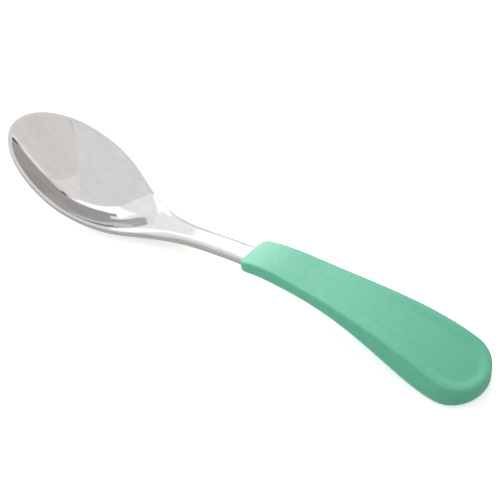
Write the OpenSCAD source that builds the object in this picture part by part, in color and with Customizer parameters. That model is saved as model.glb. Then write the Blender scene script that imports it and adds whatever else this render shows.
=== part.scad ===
// Baby spoon: a pressed steel spoon with a soft slip-on grip.
// The bowl points to -X, the grip to +X, and the part lies on the plane z = 0.
// Both pieces are slabs between two height functions over a plan outline,
// so every section, edge radius and end follows from the sizes below.

/* [Spoon bowl] */
// Overall length, from the bowl's tip to the grip's tail
total_len = 140; // [130:1:155]
// Width of the bowl at its widest section
bowl_w = 27.6; // [25:0.2:31]
// Distance from the tip back to the widest section
bowl_front = 20.8; // [19:0.2:23]
// Length over which the rim narrows from there into the neck
bowl_taper = 43.5; // [40:0.5:47]
// Length of the hollow behind the widest section
hollow_back = 24.5; // [22:0.5:27]
// Depth of the hollow below the rim
bowl_depth = 5.1; // [4:0.1:6]
// Flat land between the hollow and the rim's edge
rim_land = 0.8; // [0.5:0.1:1.2]
// Thickness of the rim's edge
rim_t = 0.95; // [0.8:0.05:1.2]
// Radius that breaks the rim's edges
rim_edge_r = 0.25; // [0.15:0.05:0.35]
// Distance from the tip back to the dip between the bowl and the neck
low_point = 41; // [39:0.5:43]
// Upward lean of the rim from the dip to the tip, in degrees
bowl_lean = 21.9; // [18:0.2:25]
// How far the rim curls down off that line at the tip
tip_curl = 0.9; // [0:0.1:2]
// Length of rim over which the tip curls
curl_len = 16; // [12:1:20]
// Softness of the dip: the larger, the rounder
dip_soft = 3.8; // [2:0.2:5]

/* [Neck and tang] */
// Width of the neck and of the tang
neck_w = 6.2; // [5.4:0.1:7]
// Thickness of the neck and of the tang
neck_t = 2; // [1.8:0.1:2.4]
// Radius of the neck's and the tang's top edges
neck_edge_r = 0.7; // [0.4:0.1:0.9]
// Radius of the neck's and the tang's lower edges
neck_low_r = 0.5; // [0.3:0.1:0.8]
// Height of the neck's top line at the grip's mouth, over the foot of the rim's lean
neck_rise = 8.5; // [7:0.1:10]
// How far the neck's top bows below a straight line at the dip
neck_bow = 2.7; // [2:0.1:3.4]
// Upward lean of the straight tang, in degrees
tang_lean = 5.8; // [4.6:0.1:7]
// Length of the tang inside the grip
tang_len = 24; // [20:0.5:25]

/* [Soft grip] */
// Length of the grip, from its mouth to its tail
grip_len = 66.7; // [61:0.5:71]
// Width of the grip at its mouth
mouth_w = 10.2; // [9.4:0.1:11]
// Width of the grip at its widest, near the tail
tail_w = 17.8; // [16:0.2:20]
// Length of the rounded tail end
tail_round = 7.4; // [6.4:0.1:9]
// Silicone over the tang at the mouth
mouth_over = 0.75; // [0.65:0.05:1]
// Silicone under the tang at the mouth
mouth_under = 0.7; // [0.6:0.05:0.9]
// Distance from the mouth to the crest of the grip's back
crest_back = 21; // [19:0.5:23]
// Silicone over the tang at the crest
crest_over = 1.5; // [1.3:0.1:2]
// Distance from the mouth to the highest point of the grip's sole
sole_back = 9.5; // [8:0.5:11]
// Silicone under the tang at that point
sole_under = 0.75; // [0.6:0.05:1.2]
// Height of the tail's end above the table
tail_h = 5.1; // [4.4:0.1:6]
// Distance from the tail to where the grip's underside meets the table
rest_back = 8; // [7:0.5:12]
// Radius of the grip's top edges
grip_edge_r = 0.8; // [0.6:0.1:1.2]
// Radius of the grip's lower edges
grip_low_r = 1.8; // [1.2:0.1:2]
// Radius that breaks the mouth's edges
mouth_edge_r = 0.5; // [0.3:0.05:0.55]
// Radius of the mouth's corners, seen from above
mouth_corner_r = 1.8; // [1.6:0.1:2.6]
// Depth of the thumb dish in the tail's top
dish_depth = 0.5; // [0.2:0.1:0.8]
// Width of the raised lip round the thumb dish
dish_lip = 1.6; // [1.2:0.1:2.2]
// Gap between the tang and the pocket that holds it
pocket_gap = 0.08; // [0.05:0.01:0.1]

/* [Hidden] */

// Powers that shape the rim's rear taper, the hollow's rear, the grip's flare, its rise
// behind the mouth and its sole
taper_start_share = 1.95;
taper_end_share = 4;
hollow_share = 1.9;
flare_share = 1.4;
crest_share = 3;
sole_share = 1.55;
// Slope of the grip's back at its tail
tail_slope_share = -0.42;
// Half angle of the tiny flat that closes each round end, in degrees
end_angle = 4;
// Stretch of the neck over which the blank thickens, as shares of the low point
thick_from_share = 0.74;
thick_to_share = 1.28;
// Overrun of the pocket's cut past the grip's mouth
cut_over = 3;
// Facets of the pocket's corners
$fn = 48;

bowl_half = bowl_w / 2;
neck_half = neck_w / 2;
end_flat = cos(end_angle);
mouth_at = total_len - grip_len;
tang_end = mouth_at + tang_len;
tail_at = total_len - tail_round;
crest_at = mouth_at + crest_back;
sole_at = mouth_at + sole_back;
rest_at = total_len - rest_back;
bowl_slope = tan(bowl_lean);
tang_slope = tan(tang_lean);
mouth_half = mouth_w / 2;
tail_half = tail_w / 2;

// Smooth step from 0 to 1, and its general form with a slope at each end
function ease(u) = let (v = min(max(u, 0), 1)) v * v * (3 - 2 * v);
function blend(a, b, slope_a, slope_b, span, u) =
    a * (1 - ease(u)) + b * ease(u) + span * u * (1 - u) * (slope_a * (1 - u) - slope_b * u);

// How far an edge of radius r has fallen away at a distance in from the outline
function edge_drop(inset, r) =
    inset >= r ? 0 : r - sqrt(max(0, r * r - pow(r - max(inset, 0), 2)));

// Half-width of the blank: round tip, egg-shaped rear, straight neck and round tang end
function tip_half(x) = bowl_half * sqrt(1 - pow((bowl_front - x) * end_flat / bowl_front, 2));
function taper_half(x) =
    neck_half + (bowl_half - neck_half)
        * pow(1 - pow(min((x - bowl_front) / bowl_taper, 1), taper_start_share), taper_end_share);
function tang_half(x) = neck_half * sqrt(1 - pow((x - tang_end + neck_half) * end_flat / neck_half, 2));
function blank_half(x) =
    x < bowl_front ? tip_half(x) : x < tang_end - neck_half ? taper_half(x) : tang_half(x);
function blank_inset(x, y) =
    x < bowl_front ? bowl_half * (1 - norm([(bowl_front - x) * end_flat / bowl_front, y / bowl_half]))
    : x < tang_end - neck_half ? blank_half(x) - abs(y)
    : neck_half - norm([(x - tang_end + neck_half) * end_flat, y]);

// Depth of a dished egg: half-width half_w, ending front before and back behind the widest section
function egg_depth(x, y, half_w, front, back, depth) =
    let (u = abs(x - bowl_front) / (x < bowl_front ? front : back),
         along = u >= 1 ? 0 : x < bowl_front ? 1 - u * u
             : pow(1 - u * u, hollow_share))
    depth * max(0, along - pow(y / half_w, 2));

// Height of the rim and of the neck's top over the foot of that lean: two lines joined softly
function bowl_line(x) = bowl_slope * (low_point - x) - tip_curl * pow(max(0, 1 - x / curl_len), 2);
function neck_line(x) =
    neck_rise + (x - mouth_at) * tang_slope - neck_bow * pow((mouth_at - x) / (mouth_at - low_point), 2);
function soft_rise(x) =
    (bowl_line(x) + neck_line(x) + norm([bowl_line(x) - neck_line(x), dip_soft])) / 2;
function rim_rise(x) =
    x < mouth_at ? soft_rise(x) : soft_rise(mouth_at) + (x - mouth_at) * tang_slope;
function blank_t(x) =
    rim_t + (neck_t - rim_t)
        * ease((x / low_point - thick_from_share) / (thick_to_share - thick_from_share));
function top_r(x) = rim_edge_r + (neck_edge_r - rim_edge_r) * ease((x - low_point) / (low_point / 2));
function low_r(x) = rim_edge_r + (neck_low_r - rim_edge_r) * ease((x - low_point) / (low_point / 2));
function belly_depth(x, y) =
    egg_depth(x, y, bowl_half, bowl_front, hollow_back + rim_land + rim_t, bowl_depth);

// Lift that sets the belly of the bowl on the table
belly_steps = 40;
steel_lift = max([for (i = [0:belly_steps]) let (x = low_point * i / belly_steps)
    blank_t(x) + belly_depth(x, 0) - rim_rise(x)]);

function steel_top(x, y) =
    steel_lift + rim_rise(x) - edge_drop(blank_inset(x, y), top_r(x))
        - egg_depth(x, y, bowl_half - rim_land, bowl_front - rim_land, hollow_back, bowl_depth);
function steel_low(x, y) =
    steel_lift + rim_rise(x) - blank_t(x) + edge_drop(blank_inset(x, y), low_r(x)) - belly_depth(x, y);

// Plan of the grip: rounded mouth corners, flaring sides and a half-oval tail
function flare_half(x) =
    mouth_half + (tail_half - mouth_half)
        * ease(pow(max(0, x - mouth_at) / (tail_at - mouth_at), flare_share));
function corner_cut(x) = edge_drop(x - mouth_at, mouth_corner_r);
function grip_half(x) =
    x < tail_at ? flare_half(x) - corner_cut(x)
    : tail_half * sqrt(1 - pow((x - tail_at) * end_flat / tail_round, 2));
function grip_inset(x, y) =
    let (back = x - mouth_at, side = flare_half(x) - abs(y))
    x >= tail_at ? tail_half * (1 - norm([(x - tail_at) * end_flat / tail_round, y / tail_half]))
    : max(back, side) < mouth_corner_r
        ? mouth_corner_r - norm([mouth_corner_r - back, mouth_corner_r - side])
    : back < mouth_corner_r || side < mouth_corner_r ? min(back, side) : side;

// Heights of the grip along its middle, tied to the tang inside it
function tang_top(x) = steel_lift + rim_rise(mouth_at) + (x - mouth_at) * tang_slope;
function grip_back(x) =
    let (mouth_h = tang_top(mouth_at) + mouth_over, crest_h = tang_top(crest_at) + crest_over)
    x < crest_at ? crest_h - (crest_h - mouth_h) * pow((crest_at - x) / crest_back, crest_share)
    : blend(crest_h, tail_h, 0, tail_slope_share, total_len - crest_at,
            (x - crest_at) / (total_len - crest_at));
function grip_sole(x) =
    let (mouth_h = tang_top(mouth_at) - neck_t - mouth_under,
         sole_h = tang_top(sole_at) - neck_t - sole_under)
    x < sole_at ? sole_h - (sole_h - mouth_h) * pow((sole_at - x) / sole_back, 2)
    : sole_h * (1 - ease(pow((x - sole_at) / (rest_at - sole_at), sole_share)));

// Edge radii: small round the mouth, growing to their full size along the grip
function edge_r(x, r) = mouth_edge_r + (r - mouth_edge_r) * ease((x - mouth_at) / (2 * mouth_corner_r));

// Thumb dish: fades in behind the crest and stops inside the lip
function dish(x, y) =
    dish_depth * ease((x - crest_at) / (tail_at - crest_at))
        * ease((grip_inset(x, y) - grip_edge_r) / dish_lip);
function grip_top(x, y) =
    grip_back(x) - edge_drop(grip_inset(x, y), edge_r(x, grip_edge_r)) - dish(x, y);
function grip_low(x, y) = grip_sole(x) + edge_drop(grip_inset(x, y), edge_r(x, grip_low_r));

// Places across a half-width: arcs over the edge radius, then even steps to the middle
edge_steps = 4;
face_steps = 6;
function half_columns(half, r) =
    let (arc = min(r, half / 2), inner = half - arc)
    concat([for (i = [0:edge_steps - 1]) half - arc * (1 - cos(90 * i / edge_steps))],
           [for (i = [0:face_steps]) inner * (1 - i / face_steps)]);
function columns(half, r) =
    let (side = half_columns(half, r), last = len(side) - 1)
    concat(side, [for (i = [last - 1:-1:0]) -side[i]]);

// Closed slab: one ring of top and lower points at each station along X
module slab(stations, half, edge_top, edge_low, top, low) {
    count = 2 * (edge_steps + face_steps) + 1;
    span = 2 * count;
    last = len(stations) - 1;
    points = [for (x = stations) each concat(
        [for (y = columns(half(x), edge_top(x))) [x, y, top(x, y)]],
        [for (y = columns(half(x), edge_low(x))) [x, -y, low(x, y)]])];
    walls = [for (i = [0:last - 1]) for (j = [0:span - 1]) let (k = (j + 1) % span)
        each [[i * span + j, i * span + k, (i + 1) * span + k],
              [i * span + j, (i + 1) * span + k, (i + 1) * span + j]]];
    caps = [for (j = [0:count - 2]) let (b = span - 1 - j, a = last * span)
        each [[j, b, b - 1], [j, b - 1, j + 1],
              [a + j, a + b - 1, a + b], [a + j, a + j + 1, a + b - 1]]];
    polyhedron(points, concat(walls, caps));
}

// Stations: close together where an end rounds off, even in between
function end_run(u) = sin((90 - end_angle) * u) / end_flat;
tip_steps = 12;
bowl_steps = 28;
neck_steps = 8;
tang_steps = 6;
taper_end = bowl_front + bowl_taper;
steel_stations = concat(
    [for (i = [0:tip_steps - 1]) bowl_front * (1 - end_run(1 - i / tip_steps))],
    [for (i = [0:bowl_steps - 1]) bowl_front + bowl_taper * i / bowl_steps],
    [for (i = [0:neck_steps - 1]) taper_end + (tang_end - neck_half - taper_end) * i / neck_steps],
    [for (i = [0:tang_steps]) tang_end - neck_half + neck_half * end_run(i / tang_steps)]);

grip_steps = 24;
tail_steps = 12;
grip_stations = concat(
    [for (i = [0:edge_steps]) mouth_at + mouth_corner_r * (1 - cos(90 * i / edge_steps))],
    [for (i = [1:grip_steps - 1]) mouth_at + mouth_corner_r
        + (tail_at - mouth_at - mouth_corner_r) * i / grip_steps],
    [for (i = [0:tail_steps]) tail_at + tail_round * end_run(i / tail_steps)]);

// Steel pressing: bowl, neck and the tang that the grip hides
module steel_spoon() {
    color("silver")
    translate([-total_len / 2, 0, 0])
    slab(steel_stations, function (x) blank_half(x),
         function (x) top_r(x), function (x) low_r(x),
         function (x, y) steel_top(x, y), function (x, y) steel_low(x, y));
}

// Section of the pocket, seen along the tang, with its top edge on y = 0
module pocket_section() {
    half = neck_half + pocket_gap;
    floor_y = -neck_t - pocket_gap;
    up_r = neck_edge_r;
    low_r = neck_low_r;
    for (side = [-1, 1]) {
        translate([side * (half - up_r), pocket_gap - up_r]) circle(up_r);
        translate([side * (half - low_r), floor_y + low_r]) circle(low_r);
    }
    polygon([[half - up_r, pocket_gap], [half, pocket_gap - up_r], [half, floor_y + low_r],
             [half - low_r, floor_y], [low_r - half, floor_y], [-half, floor_y + low_r],
             [-half, pocket_gap - up_r], [up_r - half, pocket_gap]]);
}

// Silicone grip with the pocket that slips over the tang
module grip_sleeve() {
    color("mediumaquamarine")
    translate([-total_len / 2, 0, 0])
    difference() {
        slab(grip_stations, function (x) grip_half(x),
             function (x) edge_r(x, grip_edge_r), function (x) edge_r(x, grip_low_r),
             function (x, y) grip_top(x, y), function (x, y) grip_low(x, y));
        translate([mouth_at, 0, tang_top(mouth_at)])
        rotate([0, -tang_lean, 0])
        translate([-cut_over, 0, 0])
        rotate([90, 0, 90])
        linear_extrude(cut_over + tang_len / cos(tang_lean) + pocket_gap)
        pocket_section();
    }
}

steel_spoon();
grip_sleeve();
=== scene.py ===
from math import cos, hypot, pi, radians, sin, sqrt, tan

import bmesh
import bpy
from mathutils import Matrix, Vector


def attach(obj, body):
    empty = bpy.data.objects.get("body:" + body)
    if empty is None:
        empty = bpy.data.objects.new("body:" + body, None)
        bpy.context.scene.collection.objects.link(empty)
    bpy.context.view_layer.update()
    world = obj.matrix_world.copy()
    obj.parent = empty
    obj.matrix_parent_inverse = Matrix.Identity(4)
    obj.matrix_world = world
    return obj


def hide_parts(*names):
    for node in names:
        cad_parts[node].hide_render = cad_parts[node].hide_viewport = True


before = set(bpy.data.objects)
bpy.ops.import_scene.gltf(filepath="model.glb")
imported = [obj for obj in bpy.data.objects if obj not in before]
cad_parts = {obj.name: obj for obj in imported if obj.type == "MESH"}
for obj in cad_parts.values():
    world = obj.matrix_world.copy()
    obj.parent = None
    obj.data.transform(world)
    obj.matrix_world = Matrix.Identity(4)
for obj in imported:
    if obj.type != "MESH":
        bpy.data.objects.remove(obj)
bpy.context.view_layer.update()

# Baby spoon: a polished steel spoon whose straight tang slides into a soft
# mint grip. Sizes are in millimetres, with x running from the bowl's tip to
# the grip's tail, and place() turns a point into metres in the shared frame.
# The steel has its solid's sizes, with the hollow's turns softened and a slight
# crown across the neck. The grip is fuller than its solid: wider and flatter on
# top, rounder below and at the tail, with a sharper top edge and a softer dish.

MM = 0.001
LENGTH = 140

# Bowl
BOWL_HALF = 13.8
BOWL_FRONT = 20.8
BOWL_TAPER = 43.5
TAPER_START = 1.95
TAPER_END = 4
HOLLOW_BACK = 24.5
HOLLOW_SHARE = 1.9
BOWL_DEPTH = 5.1
RIM_LAND = 0.8
RIM_T = 0.95
RIM_EDGE_R = 0.25
LOW_POINT = 41
BOWL_SLOPE = tan(radians(21.9))
TIP_CURL = 0.9
CURL_LEN = 16
CURL_SOFT = 0.3
DIP_SOFT = 3.8

# Neck and tang
NECK_HALF = 3.1
NECK_T = 2
NECK_EDGE_R = 0.7
NECK_LOW_R = 0.5
NECK_RISE = 8.5
NECK_BOW = 2.7
TANG_SLOPE = tan(radians(5.8))
TANG_LEN = 24
THICK_FROM = 0.74
THICK_TO = 1.28
POCKET_GAP = 0.08
NECK_CROWN = 0.12
NECK_SHOULDER = 0.24
CROWN_START = 10
CROWN_INTO_GRIP = 2
CROWN_END = 6

# Grip
GRIP_LEN = 66.7
MOUTH_HALF = 5.1
TAIL_HALF = 8.9
TAIL_ROUND = 7.8
FLARE_SHARE = 1.4
MOUTH_OVER = 0.75
MOUTH_UNDER = 0.7
CREST_BACK = 21
CREST_OVER = 1.5
SOLE_BACK = 9.5
SOLE_UNDER = 0.75
SOLE_SHARE = 1.55
TAIL_H = 5.1
TAIL_SLOPE = -0.42
REST_BACK = 8
GRIP_EDGE_R = 0.5
GRIP_LOW_R = 1.8
MOUTH_EDGE_R = 0.5
MOUTH_EDGE_BLEND = 1.6
MOUTH_CORNER_R = 1.8
DISH_DEPTH = 0.5
DISH_LAND = 0.9
DISH_LIP = 3

# Fuller grip: how much the section grows, and how far from the mouth and the tail
FULL_FROM = 20
TOP_WIDER = 0.55
TOP_LOWER = 0.85
LOW_ROUNDER = 1.1
LOW_FADE = 22

MOUTH_AT = LENGTH - GRIP_LEN
TANG_END = MOUTH_AT + TANG_LEN
TAIL_AT = LENGTH - TAIL_ROUND
TAIL_WIDE = TAIL_HALF + TOP_WIDER
CREST_AT = MOUTH_AT + CREST_BACK
SOLE_AT = MOUTH_AT + SOLE_BACK
REST_AT = LENGTH - REST_BACK

# How softly the hollow's border turns, and its front runs into its rear
CREASE_SOFT = 0.10
BELLY_SOFT = 0.30
EGG_BLEND = 12

# How finely the steel is drawn
TURN_STEPS = 44
BODY_STEP = 0.45
TANG_STEPS = 14
EDGE_STEPS = 7
LAND_STEPS = 5
HOLLOW_STEPS = 72

# The hollow's border is drawn no nearer the middle than CREASE_LEAST of the
# half width, and no nearer the outline than CREASE_CLEAR edge radii
CREASE_LEAST = 0.45
CREASE_CLEAR = 1.6

# How finely the grip is drawn
MOUTH_STEPS = 14
GRIP_STEP = 0.5
TAIL_STEPS = 60
SIDE_STEPS = 16
FACE_STEPS = 30

# Mesh limits: a row narrower than POINT_HALF is one point, points within WELD
# of each other are one, faces within ON_MOUTH of the grip's mouth are its end
# face, and an edge that bends by SHARP_BEND or more is drawn sharp
POINT_HALF = 0.01
WELD = 0.002 * MM
ON_MOUTH = 0.001 * MM
SHARP_BEND = radians(50)

# Half the side of the flat grid that each skin starts from
GRID_HALF = 0.5

# Finishes: linear colours, and the size of each mark
STEEL_DARK = (0.683, 0.672, 0.668)
STEEL_LIGHT = (0.719, 0.709, 0.704)
STEEL_CLOUD = 1.4 * MM
STEEL_RUB = 0.25 * MM
STEEL_RUB_DEPTH = 0.0002 * MM
STEEL_WAVE = 11 * MM
STEEL_WAVE_DEPTH = 0.004 * MM
MINT_DARK = (0.046, 0.415, 0.242)
MINT_LIGHT = (0.062, 0.450, 0.268)
MINT_CLOUD = 1.6 * MM
MINT_FROST = 0.45 * MM
MINT_FROST_DEPTH = 0.035 * MM
MINT_SCATTER = 0.8 * MM

# Stage and view
VIEW_AZIMUTH = radians(37.17)
VIEW_HEIGHT = radians(40.61)
VIEW_DISTANCE = 576.2 * MM
AIM_Z = 8 * MM
AIM_ASIDE = 2.508 * MM
AIM_UP = 0.014 * MM
PIXELS_PER_MM = 4.164
PHOTO_PIXELS = 500
SENSOR = 36
FLOOR_HALF = 3
FLOOR_Z = -0.02 * MM
FLOOR_SEEN = 0.55
FLOOR_MIRRORED = 0.1
STUDIO_LIGHT = 0.62
SECOND_MIRROR = 0.65
CARD_MOTTLE = 0.35


def place(x, y, z):
    return Vector((x - LENGTH / 2, y, z)) * MM


def ease(share):
    share = min(max(share, 0), 1)
    return share * share * (3 - 2 * share)


def soft_ease(share):
    """A gentler step, without a kink in its bend at either end."""
    share = min(max(share, 0), 1)
    return share ** 3 * (10 - 15 * share + 6 * share ** 2)


def blend(start, end, start_slope, end_slope, span, share):
    """A smooth rise between two heights that leaves and arrives at the given slopes."""
    step = ease(share)
    return start * (1 - step) + end * step + span * share * (1 - share) * (
        start_slope * (1 - share) - end_slope * share)


def edge_drop(inset, radius):
    """How far a rounded edge falls, at a distance in from the outline."""
    if inset >= radius:
        return 0
    return radius - sqrt(max(0, radius ** 2 - (radius - max(inset, 0)) ** 2))


def soft_floor(value, width):
    """The value where it is above zero, and zero below, with the corner rounded."""
    return (value + hypot(value, width)) / 2


def turn_steps(radius, steps):
    """Distances along the start of a rounded end, close together at its tip."""
    return [radius * (1 - cos(pi / 2 * step / steps)) for step in range(steps)]


def end_steps(radius, steps):
    """Distances along a rounded end, close together at its tip, tip and all."""
    return [radius * sin(pi / 2 * step / steps) for step in range(steps + 1)]


def even_steps(start, end, steps):
    """Evenly spaced values from start up to, but without, end."""
    return [start + (end - start) * step / steps for step in range(steps)]


# The steel

def blank_half(x):
    if x < BOWL_FRONT:
        return BOWL_HALF * sqrt(max(0, 1 - ((BOWL_FRONT - x) / BOWL_FRONT) ** 2))
    if x < TANG_END - NECK_HALF:
        share = min((x - BOWL_FRONT) / BOWL_TAPER, 1)
        return NECK_HALF + (BOWL_HALF - NECK_HALF) * (1 - share ** TAPER_START) ** TAPER_END
    return NECK_HALF * sqrt(max(0, 1 - ((x - TANG_END + NECK_HALF) / NECK_HALF) ** 2))


def blank_inset(x, y):
    if x < BOWL_FRONT:
        return BOWL_HALF * (1 - hypot((BOWL_FRONT - x) / BOWL_FRONT, y / BOWL_HALF))
    if x < TANG_END - NECK_HALF:
        return blank_half(x) - abs(y)
    return NECK_HALF - hypot(x - TANG_END + NECK_HALF, y)


def egg_along(x, front, back):
    """The hollow's depth along its middle, as a share: a round front easing into a longer rear."""
    fore = 1 - ((x - BOWL_FRONT) / front) ** 2
    rear = max(0, 1 - ((x - BOWL_FRONT) / back) ** 2) ** HOLLOW_SHARE
    share = soft_ease((x - BOWL_FRONT) / EGG_BLEND + 0.5)
    return fore * (1 - share) + rear * share


def egg_depth(x, y, half, front, back, soft):
    return BOWL_DEPTH * soft_floor(egg_along(x, front, back) - (y / half) ** 2, soft / BOWL_DEPTH)


def bowl_line(x):
    return BOWL_SLOPE * (LOW_POINT - x) - TIP_CURL * soft_floor(1 - x / CURL_LEN, CURL_SOFT) ** 2


def neck_line(x):
    bow = NECK_BOW * ((MOUTH_AT - x) / (MOUTH_AT - LOW_POINT)) ** 2
    return NECK_RISE + (x - MOUTH_AT) * TANG_SLOPE - bow


def rim_rise(x):
    """The rim's line and the neck's line, joined softly at the dip and straight along the tang."""
    bowl = bowl_line(min(x, MOUTH_AT))
    neck = neck_line(min(x, MOUTH_AT))
    return (bowl + neck + hypot(bowl - neck, DIP_SOFT)) / 2 + max(x - MOUTH_AT, 0) * TANG_SLOPE


def blank_t(x):
    return RIM_T + (NECK_T - RIM_T) * ease((x / LOW_POINT - THICK_FROM) / (THICK_TO - THICK_FROM))


def steel_r(x, neck_r):
    """The steel's edge radius, growing from the rim's to the neck's."""
    return RIM_EDGE_R + (neck_r - RIM_EDGE_R) * ease((x - LOW_POINT) / (LOW_POINT / 2))


def belly(x, y):
    return egg_depth(x, y, BOWL_HALF, BOWL_FRONT, HOLLOW_BACK + RIM_LAND + RIM_T, BELLY_SOFT)


# Lift that sets the belly of the bowl on the table
STEEL_LIFT = max(blank_t(x / 10) + belly(x / 10, 0) - rim_rise(x / 10) for x in range(10 * LOW_POINT))


def neck_crown(x, y):
    """The crown across the neck's top, fading out into the bowl and into the grip."""
    here = ease((x - LOW_POINT) / CROWN_START) * ease((MOUTH_AT + CROWN_INTO_GRIP - x) / CROWN_END)
    share = abs(y) / blank_half(x) if here else 0
    return here * (NECK_CROWN * share ** 2 + NECK_SHOULDER * share ** 6)


def steel_top(x, y):
    hollow = egg_depth(x, y, BOWL_HALF - RIM_LAND, BOWL_FRONT - RIM_LAND, HOLLOW_BACK, CREASE_SOFT)
    fall = edge_drop(blank_inset(x, y), steel_r(x, NECK_EDGE_R)) + neck_crown(x, y)
    return STEEL_LIFT + rim_rise(x) - fall - hollow


def steel_low(x, y):
    fall = edge_drop(blank_inset(x, y), steel_r(x, NECK_LOW_R))
    return STEEL_LIFT + rim_rise(x) - blank_t(x) + fall - belly(x, y)


def steel_stations():
    straight_end = TANG_END - NECK_HALF
    steps = round((straight_end - BOWL_FRONT) / BODY_STEP)
    front = turn_steps(BOWL_FRONT, TURN_STEPS)
    middle = even_steps(BOWL_FRONT, straight_end, steps)
    tang = [straight_end + along for along in end_steps(NECK_HALF, TANG_STEPS)]
    return front + middle + tang


def steel_columns(x):
    """Shares of the half width, close together over the rounded edge and the land."""
    half = blank_half(x)
    radius = min(steel_r(x, NECK_EDGE_R), half / 3)
    crease = (BOWL_HALF - RIM_LAND) * sqrt(max(0, egg_along(x, BOWL_FRONT - RIM_LAND, HOLLOW_BACK)))
    crease = min(max(crease, CREASE_LEAST * half), half - CREASE_CLEAR * radius)
    edge = turn_steps(radius, EDGE_STEPS)
    land = even_steps(radius, half - crease, LAND_STEPS)
    hollow = [half - crease * (1 - step / HOLLOW_STEPS) for step in range(HOLLOW_STEPS + 1)]
    if half < POINT_HALF:
        return [0] * (2 * len(edge + land + hollow) - 1)
    across = [1 - inset / half for inset in edge + land + hollow]
    return across + [-share for share in reversed(across[:-1])]


# The grip

def tang_top(x):
    return STEEL_LIFT + rim_rise(MOUTH_AT) + (x - MOUTH_AT) * TANG_SLOPE


def fuller(x):
    """How far the grip has grown from its mouth to its broad, flat-topped section."""
    return ease((x - MOUTH_AT) / FULL_FROM)


def flare_half(x):
    share = max(0, x - MOUTH_AT) / (TAIL_AT - MOUTH_AT)
    return MOUTH_HALF + (TAIL_HALF - MOUTH_HALF) * ease(share ** FLARE_SHARE) + TOP_WIDER * fuller(x)


def grip_half(x):
    if x < TAIL_AT:
        return flare_half(x) - edge_drop(x - MOUTH_AT, MOUTH_CORNER_R)
    return TAIL_WIDE * sqrt(max(0, 1 - ((x - TAIL_AT) / TAIL_ROUND) ** 2))


def grip_inset(x, y):
    if x >= TAIL_AT:
        return TAIL_WIDE * (1 - hypot((x - TAIL_AT) / TAIL_ROUND, y / TAIL_WIDE))
    back = x - MOUTH_AT
    side = flare_half(x) - abs(y)
    if max(back, side) < MOUTH_CORNER_R:
        return MOUTH_CORNER_R - hypot(MOUTH_CORNER_R - back, MOUTH_CORNER_R - side)
    if min(back, side) < MOUTH_CORNER_R:
        return min(back, side)
    return side


def grip_back(x):
    mouth_h = tang_top(MOUTH_AT) + MOUTH_OVER
    crest_h = tang_top(CREST_AT) + CREST_OVER
    if x < CREST_AT:
        return crest_h - (crest_h - mouth_h) * ((CREST_AT - x) / CREST_BACK) ** 3
    span = LENGTH - CREST_AT
    return blend(crest_h, TAIL_H, 0, TAIL_SLOPE, span, (x - CREST_AT) / span)


def grip_sole(x):
    mouth_h = tang_top(MOUTH_AT) - NECK_T - MOUTH_UNDER
    sole_h = tang_top(SOLE_AT) - NECK_T - SOLE_UNDER
    if x < SOLE_AT:
        return sole_h - (sole_h - mouth_h) * ((SOLE_AT - x) / SOLE_BACK) ** 2
    share = (x - SOLE_AT) / (REST_AT - SOLE_AT)
    return sole_h * (1 - ease(share ** SOLE_SHARE))


def grip_edge(x, y, radius):
    """Edge radius: small over and under the tang at the mouth, full elsewhere."""
    along = ease((x - MOUTH_AT) / (2 * MOUTH_CORNER_R))
    share = max(along, ease((abs(y) - NECK_HALF) / MOUTH_EDGE_BLEND))
    return MOUTH_EDGE_R + (radius - MOUTH_EDGE_R) * share


def grip_top(x, y):
    inset = grip_inset(x, y)
    deep = DISH_DEPTH * ease((x - CREST_AT) / (TAIL_AT - CREST_AT))
    dish = deep * ease((inset - DISH_LAND) / DISH_LIP)
    fall = edge_drop(inset, grip_edge(x, y, GRIP_EDGE_R))
    return grip_back(x) - TOP_LOWER * fuller(x) - fall - dish


def grip_low(x, y):
    radius = GRIP_LOW_R + LOW_ROUNDER * fuller(x) * ease((LENGTH - x) / LOW_FADE)
    return grip_sole(x) + edge_drop(grip_inset(x, y), grip_edge(x, y, radius))


def grip_stations():
    start = MOUTH_AT + MOUTH_CORNER_R
    steps = round((TAIL_AT - start) / GRIP_STEP)
    mouth = [MOUTH_AT + along for along in turn_steps(MOUTH_CORNER_R, MOUTH_STEPS)]
    middle = even_steps(start, TAIL_AT, steps)
    tail = [TAIL_AT + along for along in end_steps(TAIL_ROUND, TAIL_STEPS)]
    return mouth + middle + tail


def grip_columns(x):
    """Shares of the half width, close together over the rounded edge."""
    half = grip_half(x)
    radius = min(GRIP_LOW_R + LOW_ROUNDER, half / 2)
    edge = turn_steps(radius, SIDE_STEPS)
    face = even_steps(radius, half, FACE_STEPS) + [half]
    if half < POINT_HALF:
        return [0] * (2 * len(edge + face) - 1)
    across = [1 - inset / half for inset in edge + face]
    return across + [-share for share in reversed(across[:-1])]


# Mesh making

def lay_sheet(bm, verts, stations, columns, half, height):
    """Move a grid's points onto one height function over the piece's outline."""
    rows = len(stations) - 1
    across = [columns(x) for x in stations]
    last = len(across[0]) - 1
    for vert in verts:
        row = round((vert.co.x + GRID_HALF) * rows)
        column = round((vert.co.y + GRID_HALF) * last)
        x = stations[row]
        y = half(x) * across[row][column]
        vert.co = place(x, y, height(x, y))


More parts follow.
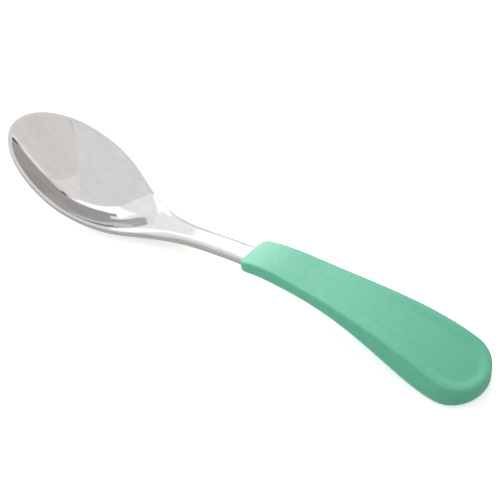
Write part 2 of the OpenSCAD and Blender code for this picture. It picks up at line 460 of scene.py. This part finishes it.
def slab(stations, columns, half, top, low):
    """A closed solid between two height functions over one outline."""
    bm = bmesh.new()
    bmesh.ops.create_grid(bm, x_segments=len(stations) - 1,
                          y_segments=len(columns(stations[0])) - 1, size=GRID_HALF)
    upper = bm.verts[:]
    copy = bmesh.ops.duplicate(bm, geom=bm.verts[:] + bm.edges[:] + bm.faces[:])["geom"]
    lower = [item for item in copy if isinstance(item, bmesh.types.BMVert)]
    under = [item for item in copy if isinstance(item, bmesh.types.BMFace)]
    bmesh.ops.reverse_faces(bm, faces=under)
    lay_sheet(bm, upper, stations, columns, half, top)
    lay_sheet(bm, lower, stations, columns, half, low)
    bmesh.ops.bridge_loops(bm, edges=[edge for edge in bm.edges if edge.is_boundary])
    bmesh.ops.remove_doubles(bm, verts=bm.verts, dist=WELD)
    return bm


def sink_pocket(bm):
    """Open the grip's mouth and run a tang-shaped pocket into it."""
    mouth_x = place(MOUTH_AT, 0, 0).x
    skin = [face for face in bm.faces
            if all(abs(vert.co.x - mouth_x) < ON_MOUTH for vert in face.verts)]
    bmesh.ops.delete(bm, geom=skin, context="FACES_ONLY")
    rim = [edge for edge in bm.edges if edge.is_boundary]
    half = NECK_HALF + POCKET_GAP
    middle_z = place(0, 0, tang_top(MOUTH_AT) - NECK_T / 2).z
    mouth_half = max(vert.co.y for edge in rim for vert in edge.verts)
    for x in (MOUTH_AT, TANG_END + POCKET_GAP):
        ring = bmesh.ops.extrude_edge_only(bm, edges=rim)["geom"]
        for vert in [item for item in ring if isinstance(item, bmesh.types.BMVert)]:
            share = vert.co.y / mouth_half
            inset = half * (1 - abs(share))
            if vert.co.z > middle_z:
                height = tang_top(x) + POCKET_GAP - edge_drop(inset, NECK_EDGE_R)
            else:
                height = tang_top(x) - NECK_T - POCKET_GAP + edge_drop(inset, NECK_LOW_R)
            vert.co = place(x, half * share, height)
        mouth_half = half * MM
        middle_z = place(0, 0, tang_top(x) - NECK_T / 2).z
        rim = [item for item in ring if isinstance(item, bmesh.types.BMEdge) and item.is_boundary]
    bmesh.ops.edgeloop_fill(bm, edges=rim)


def finished_piece(name, bm, material, body, node):
    """Turn a mesh into a piece that rides on its body and stands for its CAD node."""
    bmesh.ops.recalc_face_normals(bm, faces=bm.faces)
    for face in bm.faces:
        face.smooth = True
    for edge in bm.edges:
        edge.smooth = edge.calc_face_angle(0) < SHARP_BEND
    mesh = bpy.data.meshes.new(name)
    bm.to_mesh(mesh)
    bm.free()
    mesh.materials.append(material)
    piece = bpy.data.objects.new(name, mesh)
    bpy.context.scene.collection.objects.link(piece)
    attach(piece, body)
    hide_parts(node)
    return piece


# Materials

def new_material(name):
    material = bpy.data.materials.new(name)
    material.use_nodes = True
    nodes = material.node_tree.nodes
    return material, nodes, material.node_tree.links, nodes["Principled BSDF"]


def grain(nodes, links, size, stretch=(1, 1, 1), detail=3):
    """Noise on the piece's own coordinates, with features of the given size in metres."""
    own = nodes.new("ShaderNodeTexCoord")
    scale = nodes.new("ShaderNodeMapping")
    scale.inputs["Scale"].default_value = [1 / (size * factor) for factor in stretch]
    noise = nodes.new("ShaderNodeTexNoise")
    noise.inputs["Scale"].default_value = 1
    noise.inputs["Detail"].default_value = detail
    links.new(own.outputs["Object"], scale.inputs["Vector"])
    links.new(scale.outputs["Vector"], noise.inputs["Vector"])
    return noise.outputs["Fac"]


def spread(nodes, links, value, low, high):
    """Map noise, which lies mostly between 0.3 and 0.7, onto a range of values."""
    ramp = nodes.new("ShaderNodeMapRange")
    ramp.inputs["From Min"].default_value = 0.3
    ramp.inputs["From Max"].default_value = 0.7
    ramp.inputs["To Min"].default_value = low
    ramp.inputs["To Max"].default_value = high
    links.new(value, ramp.inputs["Value"])
    return ramp.outputs["Result"]


def shade(nodes, links, value, dark, light):
    """Run between two colours by a value from 0 to 1."""
    mix = nodes.new("ShaderNodeMix")
    mix.data_type = "RGBA"
    mix.inputs["A"].default_value = (*dark, 1)
    mix.inputs["B"].default_value = (*light, 1)
    links.new(value, mix.inputs["Factor"])
    return mix.outputs["Result"]


def relief(nodes, links, value, depth, under=None):
    """A bump of the given depth in metres."""
    bump = nodes.new("ShaderNodeBump")
    bump.inputs["Strength"].default_value = 1
    bump.inputs["Distance"].default_value = depth
    links.new(value, bump.inputs["Height"])
    if under:
        links.new(under, bump.inputs["Normal"])
    return bump.outputs["Normal"]


def polished_steel():
    material, nodes, links, shader = new_material("polished_steel_finish")
    cloud = spread(nodes, links, grain(nodes, links, STEEL_CLOUD, stretch=(3, 1, 1), detail=5), 0, 1)
    links.new(shade(nodes, links, cloud, STEEL_DARK, STEEL_LIGHT), shader.inputs["Base Color"])
    shader.inputs["Metallic"].default_value = 1
    rubbed = grain(nodes, links, STEEL_RUB, stretch=(14, 1, 1))
    links.new(spread(nodes, links, rubbed, 0.035, 0.095), shader.inputs["Roughness"])
    wave = relief(nodes, links, grain(nodes, links, STEEL_WAVE, detail=1), STEEL_WAVE_DEPTH)
    links.new(relief(nodes, links, rubbed, STEEL_RUB_DEPTH, wave), shader.inputs["Normal"])
    return material


def mint_silicone():
    material, nodes, links, shader = new_material("mint_silicone_finish")
    cloud = spread(nodes, links, grain(nodes, links, MINT_CLOUD, detail=4), 0, 1)
    links.new(shade(nodes, links, cloud, MINT_DARK, MINT_LIGHT), shader.inputs["Base Color"])
    shader.inputs["Specular IOR Level"].default_value = 1
    shader.inputs["Sheen Weight"].default_value = 0.15
    shader.inputs["Sheen Roughness"].default_value = 0.5
    shader.inputs["Subsurface Weight"].default_value = 0.12
    shader.inputs["Subsurface Radius"].default_value = (0.5, 1, 0.8)
    shader.inputs["Subsurface Scale"].default_value = MINT_SCATTER
    frost = grain(nodes, links, MINT_FROST)
    links.new(spread(nodes, links, frost, 0.48, 0.60), shader.inputs["Roughness"])
    links.new(relief(nodes, links, frost, MINT_FROST_DEPTH), shader.inputs["Normal"])
    return material


# Pieces

finished_piece(
    "polished_spoon", slab(steel_stations(), steel_columns, blank_half, steel_top, steel_low),
    polished_steel(), "spoon", "steel_spoon")
sleeve = slab(grip_stations(), grip_columns, grip_half, grip_top, grip_low)
sink_pocket(sleeve)
grip = finished_piece("soft_grip", sleeve, mint_silicone(), "sleeve", "grip_sleeve")

# Stage, laid out by what lies to the right of the photograph's view and beyond it

aside = Vector((cos(VIEW_AZIMUTH), sin(VIEW_AZIMUTH), 0))
beyond = Vector((-sin(VIEW_AZIMUTH), cos(VIEW_AZIMUTH), 0))


def flat_sheet(name, corners):
    """A flat stage sheet through the given corners, in metres."""
    bm = bmesh.new()
    bmesh.ops.create_circle(bm, cap_ends=True, segments=len(corners), radius=1)
    for vert, corner in zip(bm.verts, corners):
        vert.co = corner
    mesh = bpy.data.meshes.new(name)
    bm.to_mesh(mesh)
    bm.free()
    sheet = bpy.data.objects.new(name, mesh)
    bpy.context.scene.collection.objects.link(sheet)
    return sheet


def mirror_card(name, corners, colour, strength):
    """A studio card that shows only in shiny surfaces, and fainter in a second mirroring."""
    card = flat_sheet(name, corners)
    material = bpy.data.materials.new(name)
    material.use_nodes = True
    nodes = material.node_tree.nodes
    links = material.node_tree.links
    nodes.clear()
    path = nodes.new("ShaderNodeLightPath")
    fade = nodes.new("ShaderNodeMapRange")
    fade.inputs["From Min"].default_value = 1
    fade.inputs["From Max"].default_value = 2
    fade.inputs["To Min"].default_value = strength
    fade.inputs["To Max"].default_value = SECOND_MIRROR * strength
    links.new(path.outputs["Glossy Depth"], fade.inputs["Value"])
    mottle = nodes.new("ShaderNodeMath")
    mottle.operation = "MULTIPLY"
    links.new(spread(nodes, links, grain(nodes, links, CARD_MOTTLE), 0.95, 1.03), mottle.inputs[0])
    links.new(fade.outputs["Result"], mottle.inputs[1])
    glow = nodes.new("ShaderNodeEmission")
    glow.inputs["Color"].default_value = (*colour, 1)
    links.new(mottle.outputs["Value"], glow.inputs["Strength"])
    output = nodes.new("ShaderNodeOutputMaterial")
    links.new(glow.outputs["Emission"], output.inputs["Surface"])
    card.data.materials.append(material)
    card.visible_camera = False
    card.visible_diffuse = False
    card.visible_shadow = False
    card.visible_transmission = False


def ceiling(height, spots):
    """Corners on a level sheet, from places aside and beyond as shares of its height."""
    return [height * (aside * right + beyond * away + Vector((0, 0, 1))) for right, away in spots]


def wall(distance, spots, toward=beyond, across=aside):
    """Corners on an upright sheet, from places across and up as shares of its distance."""
    return [distance * (across * right + toward + Vector((0, 0, up))) for right, up in spots]


def pale_floor():
    """A matt finish that looks white to the camera and still takes the spoon's shadow."""
    material, nodes, links, shader = new_material("pale_floor")
    shader.inputs["Base Color"].default_value = (0.8, 0.8, 0.8, 1)
    shader.inputs["Roughness"].default_value = 1
    shader.inputs["Specular IOR Level"].default_value = 0
    shader.inputs["Emission Color"].default_value = (1, 1, 1, 1)
    path = nodes.new("ShaderNodeLightPath")
    mirrored = nodes.new("ShaderNodeMath")
    mirrored.operation = "MULTIPLY"
    mirrored.inputs[1].default_value = FLOOR_MIRRORED
    links.new(path.outputs["Is Glossy Ray"], mirrored.inputs[0])
    white = nodes.new("ShaderNodeMath")
    white.operation = "MULTIPLY_ADD"
    white.inputs[1].default_value = FLOOR_SEEN
    links.new(path.outputs["Is Camera Ray"], white.inputs[0])
    links.new(mirrored.outputs["Value"], white.inputs[2])
    links.new(white.outputs["Value"], shader.inputs["Emission Strength"])
    return material


def studio_world():
    """White to the camera and in shiny surfaces, and a plain soft light for the rest."""
    world = bpy.data.worlds.new("studio")
    world.use_nodes = True
    nodes = world.node_tree.nodes
    links = world.node_tree.links
    path = nodes.new("ShaderNodeLightPath")
    either = nodes.new("ShaderNodeMath")
    either.operation = "MAXIMUM"
    links.new(path.outputs["Is Camera Ray"], either.inputs[0])
    links.new(path.outputs["Is Glossy Ray"], either.inputs[1])
    level = nodes.new("ShaderNodeMapRange")
    level.inputs["To Min"].default_value = STUDIO_LIGHT
    level.inputs["To Max"].default_value = 1
    links.new(either.outputs["Value"], level.inputs["Value"])
    links.new(level.outputs["Result"], nodes["Background"].inputs["Strength"])
    nodes["Background"].inputs["Color"].default_value = (1, 1, 1, 1)
    return world


# The floor is a touch below the grip's flat, so that the two don't coincide
floor = flat_sheet("floor", [
    (-FLOOR_HALF, -FLOOR_HALF, FLOOR_Z), (FLOOR_HALF, -FLOOR_HALF, FLOOR_Z),
    (FLOOR_HALF, FLOOR_HALF, FLOOR_Z), (-FLOOR_HALF, FLOOR_HALF, FLOOR_Z)])
floor.data.materials.append(pale_floor())
bpy.context.scene.world = studio_world()

# Cards that the steel mirrors: pale ones above, and grey and dark ones behind and under it
mirror_card("card_overhead", ceiling(0.80, [
    (0.780, 1.67), (-0.12, 0.862), (-0.475, 0.59), (-2.5, 0.58), (-2.5, -3), (-0.642, -3)]),
    colour=(0.992, 0.980, 1), strength=0.93)
mirror_card("card_gap", ceiling(0.79, [
    (-0.03, -0.60), (0.10, -0.60), (0.170, -0.33), (0.10, -0.52), (-0.03, -0.56)]),
    colour=(1, 0.98, 0.98), strength=0.55)
mirror_card("card_fold", ceiling(0.81, [
    (1.25, 1.67), (0.90, 2.10), (0.75, 1.60), (0.27, 0.05)]),
    colour=(1, 0.965, 0.955), strength=1.00)
mirror_card("card_side", ceiling(0.82, [
    (1.06, 2.6), (2.9, 2.6), (2.9, -3), (-0.9, -3), (-0.642, -3), (0.780, 1.67)]),
    colour=(1, 0.965, 0.935), strength=0.88)
mirror_card("card_window", ceiling(0.82, [
    (0.90, 1.60), (1.06, 2.3), (-0.38, 2.3), (-0.40, 1.92), (-0.715, 1.92), (-0.12, 0.80)]),
    colour=(1, 1, 1), strength=1.5)
mirror_card("card_left", ceiling(0.825, [
    (-0.12, 0.78), (-0.10, 3), (-2.5, 3), (-2.5, 0.55), (-0.475, 0.55)]),
    colour=(0.975, 0.965, 1), strength=1.15)
mirror_card("card_low_light", wall(0.98, [
    (1.45, 0.62), (1.40, 0.90), (0.75, 0.62), (0.75, 0.50), (1.0, 0.60)]),
    colour=(1, 0.98, 0.98), strength=1.08)
mirror_card("card_dark", wall(1.0, [
    (1.35, 0), (1.35, 0.70), (0.98, 0.60), (0.47, 0.39), (0.15, 0.60), (-0.05, 0.63),
    (-0.05, 0.455), (0.03, 0.455), (0.03, 0)]),
    colour=(1, 0.97, 0.95), strength=0.45)
mirror_card("card_under", [
    (-0.16, -0.12, 0.5 * FLOOR_Z), (0.16, -0.12, 0.5 * FLOOR_Z),
    (0.16, 0.10, 0.5 * FLOOR_Z), (-0.16, 0.10, 0.5 * FLOOR_Z)],
    colour=(1, 0.95, 0.90), strength=0.58)
mirror_card("card_slot", wall(0.96, [
    (1.18, 0.590), (1.18, 0.705), (1.00, 0.640), (1.00, 0.555)]),
    colour=(1, 0.98, 0.96), strength=0.02)
mirror_card("card_dash", wall(0.96, [
    (0.545, 0.415), (0.545, 0.475), (0.485, 0.455), (0.485, 0.400)]),
    colour=(1, 0.96, 1), strength=0.06)
mirror_card("card_grey", wall(0.985, [
    (1.35, 0), (1.35, 0.54), (0.98, 0.46), (0.72, 0.25), (0.68, 0)]),
    colour=(1, 0.975, 0.96), strength=0.58)
mirror_card("card_near_left", wall(1.2, [
    (-0.55, 0), (-0.55, 0.44), (0.05, 0.44), (0.05, 0)], toward=-aside, across=beyond),
    colour=(1, 0.96, 0.95), strength=0.66)
mirror_card("card_horizon", wall(2, [
    (3, 0), (3, 0.16), (-3, 0.16), (-3, 0)]),
    colour=(1, 0.98, 0.96), strength=0.4)


def soft_lamp(name, watts, size, spot, mirrored):
    """A square lamp aimed at the spoon, which shiny surfaces may mirror or not."""
    light = bpy.data.lights.new(name, "AREA")
    light.energy = watts
    light.size = size
    lamp = bpy.data.objects.new(name, light)
    lamp.location = spot
    lamp.rotation_euler = (-lamp.location).to_track_quat("-Z", "Y").to_euler()
    lamp.visible_glossy = mirrored
    bpy.context.scene.collection.objects.link(lamp)
    return lamp


# The key gives the grip its satin gleam. The polished spoon has its own cards
# for that, so only the matt things take the key's light.
matt_things = bpy.data.collections.new("matt_things")
matt_things.objects.link(grip)
matt_things.objects.link(floor)
key_lamp = soft_lamp("key", watts=14.5, size=1.2, spot=(-0.87, 0.52, 0.58), mirrored=True)
key_lamp.light_linking.receiver_collection = matt_things
soft_lamp("fill", watts=6, size=0.9, spot=(-0.90, -0.55, 0.70), mirrored=False)

# Camera

behind = cos(VIEW_HEIGHT) * -beyond + Vector((0, 0, sin(VIEW_HEIGHT)))
middle = Vector((0, 0, AIM_Z))
aim = middle + aside * AIM_ASIDE + behind.cross(aside) * AIM_UP
eye = middle + behind * VIEW_DISTANCE

camera_data = bpy.data.cameras.new("camera")
camera_data.sensor_width = SENSOR
camera_data.lens = PIXELS_PER_MM * VIEW_DISTANCE / MM * SENSOR / PHOTO_PIXELS
camera_data.clip_start = 0.01
camera = bpy.data.objects.new("camera", camera_data)
camera.location = eye
camera.rotation_euler = (aim - eye).to_track_quat("-Z", "Y").to_euler()
bpy.context.scene.collection.objects.link(camera)
bpy.context.scene.camera = camera
bpy.context.scene.view_settings.view_transform = "Standard"
